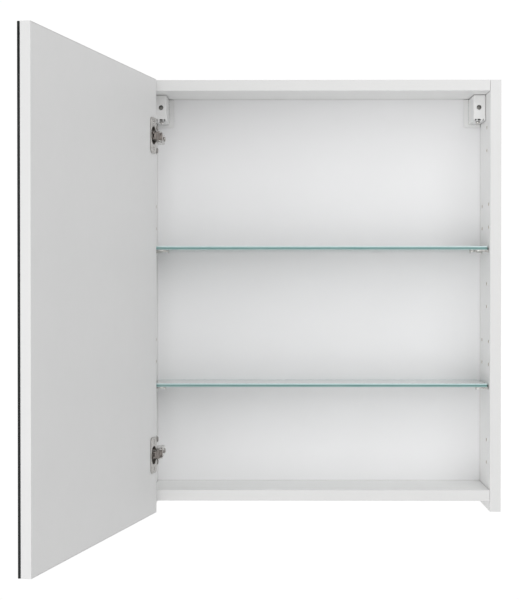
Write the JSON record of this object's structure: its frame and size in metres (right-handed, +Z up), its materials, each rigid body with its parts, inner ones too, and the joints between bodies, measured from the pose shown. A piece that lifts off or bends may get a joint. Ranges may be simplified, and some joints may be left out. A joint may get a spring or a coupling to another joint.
{
  "type": "medicine cabinet with mirror",
  "caption": "Wall-hung white cabinet with a mirrored door on concealed hinges, two lift-out glass shelves and adjustable hangers in its upper rear corners.",
  "frame": {"origin": "middle of the top panel's rear edge, on the wall plane", "axes": "+X to the viewer's right, +Y into the wall, +Z up; the door is stored open on the left"},
  "size_m": [0.5917, 0.6156, 0.6],
  "materials": {
    "white_melamine": "satin white melamine foil on chipboard, white edge band",
    "white_hardboard": "white lacquered hardboard, satin",
    "mirror": "silvered float glass with dark ground edges",
    "shelf_glass": "clear float glass with green polished edges",
    "nickel": "bright nickel plate",
    "dark_nickel": "duller nickel plate, lightly greased",
    "white_plastic": "moulded white plastic, fine satin texture"
  },
  "bodies": {
    "carcass": {"side_panel_left": "white_melamine", "side_panel_right": "white_melamine", "top_panel": "white_melamine", "bottom_panel": "white_melamine", "back_panel": "white_hardboard", "shelf_pin_upper_left_front": "nickel", "shelf_pin_upper_left_rear": "nickel", "shelf_pin_upper_right_front": "nickel", "shelf_pin_upper_right_rear": "nickel", "shelf_pin_lower_left_front": "nickel", "shelf_pin_lower_left_rear": "nickel", "shelf_pin_lower_right_front": "nickel", "shelf_pin_lower_right_rear": "nickel", "hanger_left_body": "nickel", "hanger_left_hook": "nickel", "hanger_left_cover": "white_plastic", "hanger_left_depth_screw": "nickel", "hanger_left_height_screw": "nickel", "hanger_right_body": "nickel", "hanger_right_hook": "nickel", "hanger_right_cover": "white_plastic", "hanger_right_depth_screw": "nickel", "hanger_right_height_screw": "nickel", "hinge_upper_mounting_plate": "nickel", "hinge_upper_plate_screw_upper": "nickel", "hinge_upper_plate_screw_lower": "nickel", "hinge_upper_arm": "nickel", "hinge_upper_clamp_screw": "nickel", "hinge_upper_side_screw": "dark_nickel", "hinge_upper_rear_pin": "dark_nickel", "hinge_upper_nose_pin": "dark_nickel", "hinge_upper_spring": "dark_nickel", "hinge_lower_mounting_plate": "nickel", "hinge_lower_plate_screw_upper": "nickel", "hinge_lower_plate_screw_lower": "nickel", "hinge_lower_arm": "nickel", "hinge_lower_clamp_screw": "nickel", "hinge_lower_side_screw": "dark_nickel", "hinge_lower_rear_pin": "dark_nickel", "hinge_lower_nose_pin": "dark_nickel", "hinge_lower_spring": "dark_nickel"},
    "hinge_outer_links": {"hinge_upper_outer_link": "dark_nickel", "hinge_lower_outer_link": "dark_nickel"},
    "door": {"door_panel": "white_melamine", "mirror_glass": "mirror", "hinge_upper_cup": "nickel", "hinge_upper_cup_pin": "dark_nickel", "hinge_upper_cup_screw_upper": "nickel", "hinge_upper_cup_screw_lower": "nickel", "hinge_lower_cup": "nickel", "hinge_lower_cup_pin": "dark_nickel", "hinge_lower_cup_screw_upper": "nickel", "hinge_lower_cup_screw_lower": "nickel"},
    "hinge_inner_links": {"hinge_upper_inner_link": "dark_nickel", "hinge_lower_inner_link": "dark_nickel"},
    "shelf_upper": {"shelf_upper": "shelf_glass"},
    "shelf_lower": {"shelf_lower": "shelf_glass"}
  },
  "joints": [
    {"name": "outer_link_swing", "type": "hinge", "parent": "carcass", "child": "hinge_outer_links", "pos_m": [-0.222, -0.11693, 0], "axis": [0, 0, 1], "range_deg": [-49.3, 0]},
    {"name": "door_swing", "type": "hinge", "parent": "hinge_outer_links", "child": "door", "pos_m": [-0.23032, -0.13502, 0], "axis": [0, 0, 1], "range_deg": [0, 150.54]},
    {"name": "inner_link_swing", "type": "hinge", "parent": "carcass", "child": "hinge_inner_links", "pos_m": [-0.22422, -0.127, 0], "axis": [0, 0, 1], "range_deg": [-60.8, 0]},
    {"name": "shelf_upper_lift", "type": "slide", "parent": "carcass", "child": "shelf_upper", "axis": [0, 0, 1], "range_m": [0, 0.03]},
    {"name": "shelf_lower_lift", "type": "slide", "parent": "carcass", "child": "shelf_lower", "axis": [0, 0, 1], "range_m": [0, 0.03]}
  ],
  "couplings": [
    {"joint": "outer_link_swing", "follows": "door_swing", "ratio": -0.32641},
    {"joint": "inner_link_swing", "follows": "door_swing", "ratio": -0.40279}
  ]
}
